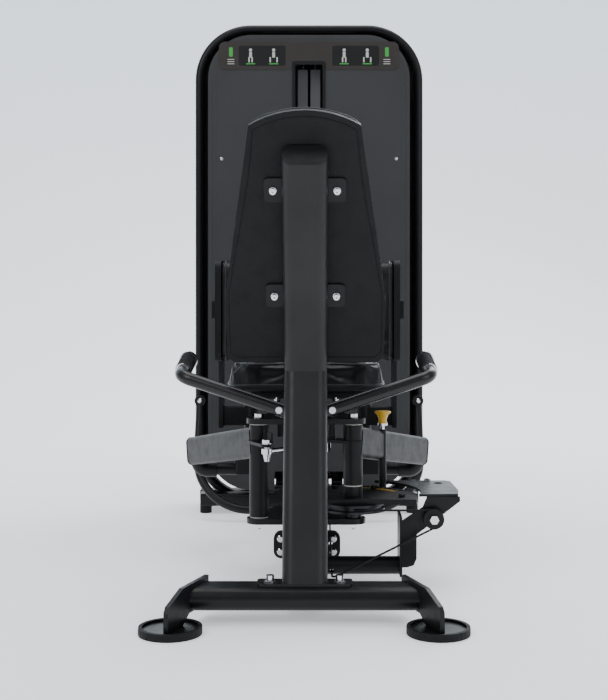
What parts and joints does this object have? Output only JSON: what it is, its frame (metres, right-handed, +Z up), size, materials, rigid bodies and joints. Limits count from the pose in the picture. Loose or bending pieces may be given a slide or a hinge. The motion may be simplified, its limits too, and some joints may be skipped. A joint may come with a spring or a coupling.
{
  "type": "hip abductor machine",
  "caption": "Seated hip abduction and adduction machine: bent seat column, swinging leg arms with flip-over knee pads, tie rod, start selector, cable drive and a weight stack in a hoop frame",
  "frame": {"origin": "on the floor, at the middle of the overall length and width", "axes": "+Z up, +Y from the rear feet to the weight tower, +X toward the start selector"},
  "size_m": [0.743, 1.662, 1.585],
  "materials": {
    "frame_paint": "satin near-black powder coat",
    "column_paint": "satin near-black powder coat, slightly lighter",
    "arm_paint": "satin near-black powder coat",
    "handle_paint": "gloss near-black paint",
    "hoop_paint": "satin near-black powder coat",
    "foot_rubber": "moulded black rubber",
    "black_rubber": "smooth black rubber",
    "grip_rubber": "ribbed black grip rubber",
    "black_plastic": "matte black moulding",
    "shell_plastic": "fine-textured near-black moulding",
    "shroud_plastic": "textured mid-grey moulding",
    "placard_plastic": "printed dark panel",
    "cushion_vinyl": "charcoal upholstery vinyl with a fine grain",
    "bright_chrome": "bright chrome plate",
    "shaft_steel": "ground steel",
    "bush_nylon": "off-white nylon",
    "drum_alloy": "machined alloy",
    "plate_iron": "dark painted iron",
    "cable_jacket": "black jacket over steel rope",
    "yellow_plastic": "yellow moulded plastic",
    "pulley_nylon": "glass-filled black nylon"
  },
  "bodies": {
    "frame": {"rear_stabiliser": "frame_paint", "foot_brackets": "frame_paint", "rear_feet": "foot_rubber", "base_plate": "frame_paint", "seat_post": "column_paint", "post_cap": "black_plastic", "back_brackets": "frame_paint", "back_shell": "shell_plastic", "back_cushion": "cushion_vinyl", "seat_carrier": "frame_paint", "seat_board": "shell_plastic", "seat_cushion": "cushion_vinyl", "handle_left": "handle_paint", "handle_right": "handle_paint", "hand_grips": "grip_rubber", "grip_rings": "bright_chrome", "main_beam": "frame_paint", "front_column": "frame_paint", "hub_plate_upper": "frame_paint", "hub_plate_lower": "frame_paint", "pivot_shafts": "shaft_steel", "pivot_bolts": "bright_chrome", "stop_bumpers": "black_rubber", "side_bracket": "frame_paint", "bracket_axles": "bright_chrome", "tower_base": "frame_paint", "tower_hoop": "hoop_paint", "foot_loop": "hoop_paint", "tower_feet": "foot_rubber", "near_shroud": "shroud_plastic", "far_shroud": "shroud_plastic", "placard": "placard_plastic", "slot_trim": "black_plastic", "guide_rods": "shaft_steel", "resting_plates": "plate_iron", "stack_bumpers": "black_rubber", "drive_cable": "cable_jacket", "frame_bolts": "bright_chrome"},
    "arm_right": {"arm_right": "arm_paint", "bushes_right": "bush_nylon"},
    "arm_left": {"arm_left": "arm_paint", "bushes_left": "bush_nylon", "tie_bolt_left": "bright_chrome"},
    "tie_rod": {"tie_rod": "bright_chrome"},
    "selector": {"selector_plate": "arm_paint", "cable_drum": "drum_alloy"},
    "index_pin": {"index_pin": "bright_chrome", "pull_knob": "yellow_plastic"},
    "stack": {"lifted_plate": "plate_iron", "stack_cable": "cable_jacket"},
    "weight_pin": {"weight_pin": "yellow_plastic"},
    "carrier_right": {"carrier_right": "arm_paint", "pad_shell_right": "shell_plastic", "knee_cushion_right": "cushion_vinyl"},
    "carrier_left": {"carrier_left": "arm_paint", "pad_shell_left": "shell_plastic", "knee_cushion_left": "cushion_vinyl"},
    "redirect_pulley": {"redirect_pulley": "pulley_nylon"},
    "tower_pulley": {"tower_pulley": "pulley_nylon"},
    "top_pulley": {"top_pulley": "pulley_nylon"}
  },
  "joints": [
    {"name": "hip_swing", "type": "hinge", "parent": "frame", "child": "arm_right", "pos_m": [0.1134, -0.38, 0.3], "axis": [0, 0, -1], "range_deg": [0, 45]},
    {"name": "left_swing", "type": "hinge", "parent": "frame", "child": "arm_left", "pos_m": [-0.1134, -0.38, 0.3], "axis": [0, 0, 1], "range_deg": [0, 45]},
    {"name": "tie_rod_turn", "type": "hinge", "parent": "arm_left", "child": "tie_rod", "pos_m": [-0.09158, -0.45176, 0.34], "axis": [0, 0, 1], "range_deg": [-45, 0]},
    {"name": "start_position", "type": "hinge", "parent": "arm_right", "child": "selector", "pos_m": [0.1134, -0.38, 0.215], "axis": [0, 0, 1], "range_deg": [-24, 24]},
    {"name": "index_pin_slide", "type": "slide", "parent": "arm_right", "child": "index_pin", "axis": [0, 0, 1], "range_m": [-0.009, 0]},
    {"name": "stack_lift", "type": "slide", "parent": "frame", "child": "stack", "axis": [0, 0, 1], "range_m": [0, 0.055], "deforming": ["stack_cable"]},
    {"name": "weight_pin_pull", "type": "slide", "parent": "stack", "child": "weight_pin", "axis": [0, -1, 0], "range_m": [0, 0.055]},
    {"name": "pad_flip_right", "type": "hinge", "parent": "arm_right", "child": "carrier_right", "pos_m": [0.158, 0.12, 0.34], "axis": [0, 0, 1], "range_deg": [0, 180]},
    {"name": "pad_flip_left", "type": "hinge", "parent": "arm_left", "child": "carrier_left", "pos_m": [-0.158, 0.12, 0.34], "axis": [0, 0, -1], "range_deg": [0, 180]},
    {"name": "redirect_turn", "type": "hinge", "parent": "frame", "child": "redirect_pulley", "pos_m": [0.302, -0.45, 0.18], "axis": [0, 1, 0], "range_deg": [0, 158]},
    {"name": "tower_pulley_turn", "type": "hinge", "parent": "frame", "child": "tower_pulley", "pos_m": [0.062, 0.721, 0.14], "axis": [1, 0, 0], "range_deg": [0, 93]},
    {"name": "top_pulley_turn", "type": "hinge", "parent": "frame", "child": "top_pulley", "pos_m": [0, 0.725, 1.477], "axis": [1, 0, 0], "range_deg": [0, 106]}
  ],
  "couplings": [
    {"joint": "left_swing", "follows": "hip_swing", "ratio": 1},
    {"joint": "tie_rod_turn", "follows": "hip_swing", "ratio": -1},
    {"joint": "stack_lift", "follows": "hip_swing", "m_per_rad": 0.07},
    {"joint": "redirect_turn", "follows": "hip_swing", "ratio": 3.5},
    {"joint": "tower_pulley_turn", "follows": "hip_swing", "ratio": 2.0588},
    {"joint": "top_pulley_turn", "follows": "hip_swing", "ratio": 2.3333}
  ]
}
